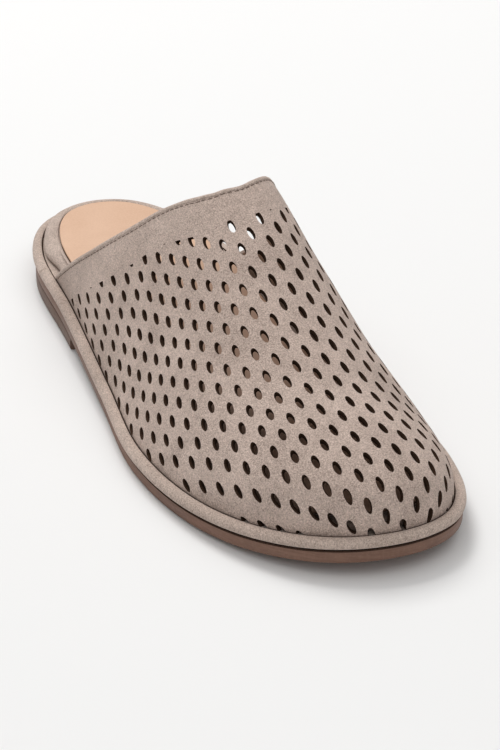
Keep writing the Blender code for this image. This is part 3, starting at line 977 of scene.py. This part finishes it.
def flat_outline(pattern, collar, tuck):
    """Closed flat outline: collar line, inner foot, toe, outer foot."""
    outer, inner = foot_lines(pattern, tuck)
    low, high = (np.interp(collar[:, 0], *line.T) for line in (outer, inner))
    collar = collar[(collar[:, 1] > low) & (collar[:, 1] < high)]
    inner = inner[inner[:, 0] < collar[-1, 0]][::-1]
    outer = outer[outer[:, 0] < collar[0, 0]]
    return np.concatenate([collar, inner, [[-tuck, 0.0]], outer])


def flat_block(name, outline, low, high):
    """A block over a flat outline."""
    count = len(outline)
    piece = start_ring(name, np.column_stack([outline, np.full(count, low)]))
    bpy.ops.mesh.edge_face_add()
    bpy.ops.mesh.extrude_region_move(TRANSFORM_OT_translate={"value": (0.0, 0.0, high - low)})
    leave_outwards()
    return piece


def hole_rows(pattern):
    """Flat places of all holes within the hide and how far each points off the middle."""
    places, splay = [], []
    for step in range(-COLUMN_REACH, COLUMN_REACH + 1):
        off_middle = step * HALF_COLUMN
        line, run = pattern.column(MIDDLE_COLUMN + off_middle)
        drop = np.hypot(ROW_ARC, ROW_SLANT * off_middle) - ROW_ARC
        ahead = FIRST_ROW - np.arange(step % 2, ROW_COUNT, 2) * HALF_ROW - drop
        ahead = ahead[(ahead < run[0]) & (ahead > run[-1])]
        places.append(np.stack([np.interp(-ahead, -run, values) for values in line.T], axis=-1))
        splay.append(np.full(len(ahead), HOLE_SPLAY * off_middle))
    places, splay = np.concatenate(places), np.concatenate(splay)
    feet = foot_lines(pattern, FOOT_OVERHANG)
    low, high = (np.interp(places[:, 0], *line.T) for line in feet)
    keep = (places[:, 1] > low) & (places[:, 1] < high)
    return places[keep], splay[keep]


def hole_places(pattern):
    """Flat places of the punched holes, each with the two by two turn that lays its oval on the last."""
    places, splay = hole_rows(pattern)
    points, ways, outwards = pattern.frame(places)
    dip = HOLE_DIP + TOE_DIP * outwards[:, 0] ** 2
    forwards = np.stack([np.cos(splay), np.sin(splay), -dip], axis=-1)
    forwards -= outwards * (outwards * forwards).sum(axis=-1, keepdims=True)
    forwards /= np.linalg.norm(forwards, axis=-1, keepdims=True)
    across = np.cross(outwards, forwards)
    kept, turns = [], []
    for i, point in enumerate(points):
        if any(np.linalg.norm(point - points[j]) < HOLE_CLEARANCE for j in kept):
            continue
        flat_of = np.linalg.pinv(np.stack([ways[0][i], ways[1][i]], axis=-1))
        oval = np.stack([forwards[i] * HOLE_LENGTH / 2, across[i] * HOLE_BREADTH / 2], axis=-1)
        kept.append(i)
        turns.append(flat_of @ oval)
    return places[kept], np.array(turns)


def make_peg():
    """One oval peg, flared above the hide so that it leaves a softened lip."""
    turn = full_turn(HOLE_SIDES)
    rings = []
    for height, length, breadth in PEG_LEVELS:
        level = np.full(HOLE_SIDES, height)
        rings.append(np.column_stack([np.cos(turn) * length, np.sin(turn) * breadth, level]))
    peg = start_ring("peg", rings[0])
    for ring in rings[1:]:
        extrude_to(ring)
    bpy.ops.mesh.edge_face_add()
    bpy.ops.mesh.select_all(action="DESELECT")
    bpy.ops.object.mode_set(mode="OBJECT")
    for vertex in peg.data.vertices:
        vertex.select = vertex.co.z < PEG_LEVELS[0][0] + 1e-5
    bpy.ops.object.mode_set(mode="EDIT")
    bpy.ops.mesh.select_mode(type="VERT")
    bpy.ops.mesh.edge_face_add()
    leave_outwards()
    return peg


def repeat(name, base, placed):
    """Copies of a small piece's mesh in one new mesh, one for each set of placed points."""
    count = len(base.data.vertices)
    faces = [tuple(face.vertices) for face in base.data.polygons]
    mesh = bpy.data.meshes.new(name)
    all_faces = [[v + k * count for v in face] for k in range(len(placed)) for face in faces]
    mesh.from_pydata(np.concatenate(placed).tolist(), [], all_faces)
    bpy.data.objects.remove(base)
    piece = bpy.data.objects.new(name, mesh)
    bpy.context.scene.collection.objects.link(piece)
    return piece


def points_of(piece):
    points = np.empty(len(piece.data.vertices) * 3, np.float32)
    piece.data.vertices.foreach_get("co", points)
    return points.reshape(-1, 3).astype(float)


def make_punches(pattern):
    """All pegs, cut off along the line where the plain band begins."""
    places, turns = hole_places(pattern)
    peg = make_peg()
    shape = points_of(peg)
    placed = []
    for place, turn in zip(places, turns):
        flat = place + shape[:, :2] @ turn.T
        placed.append(np.column_stack([flat, shape[:, 2]]))
    mirrored = np.linalg.det(turns[0]) < 0
    punches = repeat("punches", peg, placed)
    if mirrored:
        punches.data.flip_normals()
    band = moved_in(flat_collar(pattern, COLLAR_STATIONS), PLAIN_BAND)
    field = flat_block("punched_field", flat_outline(pattern, band, PUNCH_REACH), -CUT_DEPTH, CUT_DEPTH)
    cut(punches, field, "INTERSECT")
    return punches


def make_hide(pattern):
    """The flat hide: a fine sheet with its wall, trimmed to the outline and punched."""
    outline = flat_outline(pattern, flat_collar(pattern, COLLAR_STATIONS), FOOT_TUCK)
    low, high = outline.min(axis=0) - VAMP_CELL, outline.max(axis=0) + VAMP_CELL
    cells = np.ceil((high - low) / VAMP_CELL).astype(int)
    clear_selection()
    bpy.ops.mesh.primitive_grid_add(x_subdivisions=cells[0], y_subdivisions=cells[1], size=1.0)
    hide = bpy.context.object
    hide.name = hide.data.name = "vamp"
    hide.scale = (*(high - low), 1.0)
    hide.location = (*((high + low) / 2), 0.0)
    bpy.ops.object.transform_apply(location=True, rotation=False, scale=True)
    wall = hide.modifiers.new("wall", "SOLIDIFY")
    wall.thickness = VAMP_WALL
    wall.offset = -1.0
    apply_modifiers(hide)
    cut(hide, flat_block("hide_outline", outline, -CUT_DEPTH, CUT_DEPTH), "INTERSECT")
    cut(hide, make_punches(pattern), "DIFFERENCE")
    return hide


def make_vamp(pattern):
    hide = make_hide(pattern)
    flat = points_of(hide)
    set_on(hide, "upper", "upper_suede", VAMP_SUEDE, VAMP_LINING, PUNCHED_EDGE)
    outside, lining, punched = range(3)
    for face in hide.data.polygons:
        up = face.normal.z
        face.material_index = outside if up > FLAT_FACE else lining if up < -FLAT_FACE else punched
    points, _, outwards = pattern.frame(flat[:, :2])
    drawn = points + outwards * flat[:, 2:] - FRAME_MIDDLE
    rise = hide.data.attributes.new(FOOT_RISE, "FLOAT", "POINT")
    rise.data.foreach_set("value", (points[:, 2] - feather_height(points[:, 0])).astype(np.float32))
    hide.data.vertices.foreach_set("co", drawn.astype(np.float32).ravel())
    hide.data.update()
    drop_slivers(hide, VAMP_JOIN)
    face_outwards(hide)
    smooth(hide, degrees=40)


def collar_frames(pattern, distance, count):
    """Points along the collar at a distance in from its edge, with the ways along, inwards and outwards."""
    line = moved_in(flat_collar(pattern, count), distance)
    points, _, outwards = pattern.frame(line)
    along = np.gradient(points, axis=0)
    along /= np.linalg.norm(along, axis=-1, keepdims=True)
    outwards -= along * (outwards * along).sum(axis=-1, keepdims=True)
    outwards /= np.linalg.norm(outwards, axis=-1, keepdims=True)
    inwards = np.cross(along, outwards)
    return points, along, inwards, outwards


def make_collar_edge(pattern):
    """The collar's edge, turned over and drawn down by the stitches, a little uneven by hand."""
    points, _, inwards, outwards = collar_frames(pattern, 0.0, COLLAR_STATIONS)
    run = path_length(points, 0)
    swell = 1 + 0.22 * np.sin(run * 410) * np.sin(run * 97 + 1.0) + 0.12 * np.sin(run * 1130 + 0.5)
    profile = (
        (0.0014, -0.00170),
        (0.0009, -0.00205),
        (0.0003, -0.00195),
        (-0.0002, -0.00145),
        (-0.0004, -0.00080),
        (-0.0002, -0.00015),
        (0.0002, 0.00018),
        (0.0006, 0.00028),
        (0.0010, 0.00024),
        (0.0013, 0.00006),
        (0.0014, -0.00030),
    )
    rings = []
    for reach, rise in profile:
        lift = rise * np.where(rise > 0, swell, 1.0)
        rings.append(points + inwards * reach + outwards * lift[:, None])
    stations = np.stack(rings, axis=1) - FRAME_MIDDLE
    strip = start_ring("collar_edge", stations[0])
    bpy.ops.mesh.edge_face_add()
    bpy.ops.mesh.select_all(action="SELECT")
    for station in stations[1:]:
        extrude_to(station)
    bpy.ops.mesh.edge_face_add()
    leave_outwards()
    smooth(strip, degrees=60)
    set_on(strip, None, "upper_suede", WRAP_SUEDE)


def make_stitches(pattern):
    """One stitch, rounded at both ends, repeated along the collar and half sunk in the nap."""
    clear_selection()
    bpy.ops.mesh.primitive_uv_sphere_add(segments=8, ring_count=6, radius=0.5)
    stitch = bpy.context.object
    bpy.ops.object.mode_set(mode="EDIT")
    bpy.ops.mesh.select_all(action="SELECT")
    bpy.ops.transform.rotate(value=np.pi / 2, orient_axis="Y", center_override=(0.0, 0.0, 0.0))
    size = (STITCH_LENGTH, STITCH_WIDTH, STITCH_WIDTH)
    bpy.ops.transform.resize(value=size, center_override=(0.0, 0.0, 0.0))
    bpy.ops.object.mode_set(mode="OBJECT")
    shape = points_of(stitch)
    points, along, inwards, outwards = collar_frames(pattern, STITCH_LINE, 4 * COLLAR_STATIONS)
    run = path_length(points, 0)
    placed = []
    for start in np.arange(STITCH_MARGIN, run[-1] - STITCH_MARGIN, STITCH_PITCH):
        i = np.searchsorted(run, start)
        ways = np.stack([along[i], inwards[i], outwards[i]])
        placed.append(points[i] + shape @ ways - FRAME_MIDDLE)
    stitches = repeat("collar_stitches", stitch, placed)
    face_outwards(stitches)
    smooth(stitches, degrees=60)
    set_on(stitches, None, "upper_suede", STITCH_THREAD)


# Studio


def make_floor():
    clear_selection()
    bpy.ops.mesh.primitive_plane_add(size=12.0, location=(0.0, 0.0, 0.0))
    floor = bpy.context.object
    floor.name = floor.data.name = "studio_floor"
    paper = bpy.data.materials.new("pale_paper")
    paper.use_nodes = True
    shader = paper.node_tree.nodes["Principled BSDF"]
    set_inputs(shader, Base_Color=(0.86, 0.86, 0.86, 1.0), Roughness=0.9, Specular_IOR_Level=0.05)
    floor.data.materials.append(paper)


def add_softbox(name, place, aim, size, power, colour):
    light = bpy.data.lights.new(name, "AREA")
    light.shape = "RECTANGLE"
    light.size, light.size_y = size
    light.energy = power
    light.color = colour
    lamp = bpy.data.objects.new(name, light)
    lamp.location = place
    lamp.rotation_mode = "QUATERNION"
    lamp.rotation_quaternion = (Vector(aim) - Vector(place)).to_track_quat("-Z", "Y")
    bpy.context.scene.collection.objects.link(lamp)


def light_studio():
    world = bpy.data.worlds.new("studio")
    world.use_nodes = True
    set_inputs(world.node_tree.nodes["Background"], Color=(1.0, 1.0, 1.0, 1.0), Strength=0.30)
    bpy.context.scene.world = world
    bpy.context.scene.view_settings.view_transform = "Standard"
    add_softbox("overhead", (0.0, 0.0, 4.0), (0.0, 0.0, 0.0), (7.0, 7.0), 113.0, (1.0, 0.995, 0.985))
    add_softbox("key", (-1.2, 0.0, 1.9), (0.0, 0.0, 0.0), (0.9, 0.9), 24.5, (1.0, 0.99, 0.975))
    add_softbox("front", (1.9, -0.6, 1.3), (0.0, 0.0, 0.0), (1.2, 1.2), 4.2, (1.0, 0.985, 0.97))


def set_camera():
    camera = bpy.data.cameras.new("camera")
    camera.sensor_width = 36.0
    camera.lens = CAMERA_LENS
    camera.clip_start = 0.05
    viewer = bpy.data.objects.new("camera", camera)
    viewer.location = CAMERA_PLACE
    viewer.rotation_mode = "QUATERNION"
    viewer.rotation_quaternion = Vector(CAMERA_AIM).to_track_quat("-Z", "Y")
    bpy.context.scene.collection.objects.link(viewer)
    bpy.context.scene.camera = viewer


def main():
    pattern = Pattern(Last())
    make_heel_stack()
    make_outsole()
    make_welt()
    make_footbed()
    make_insole()
    make_vamp(pattern)
    make_collar_edge(pattern)
    make_stitches(pattern)
    make_floor()
    light_studio()
    set_camera()


main()
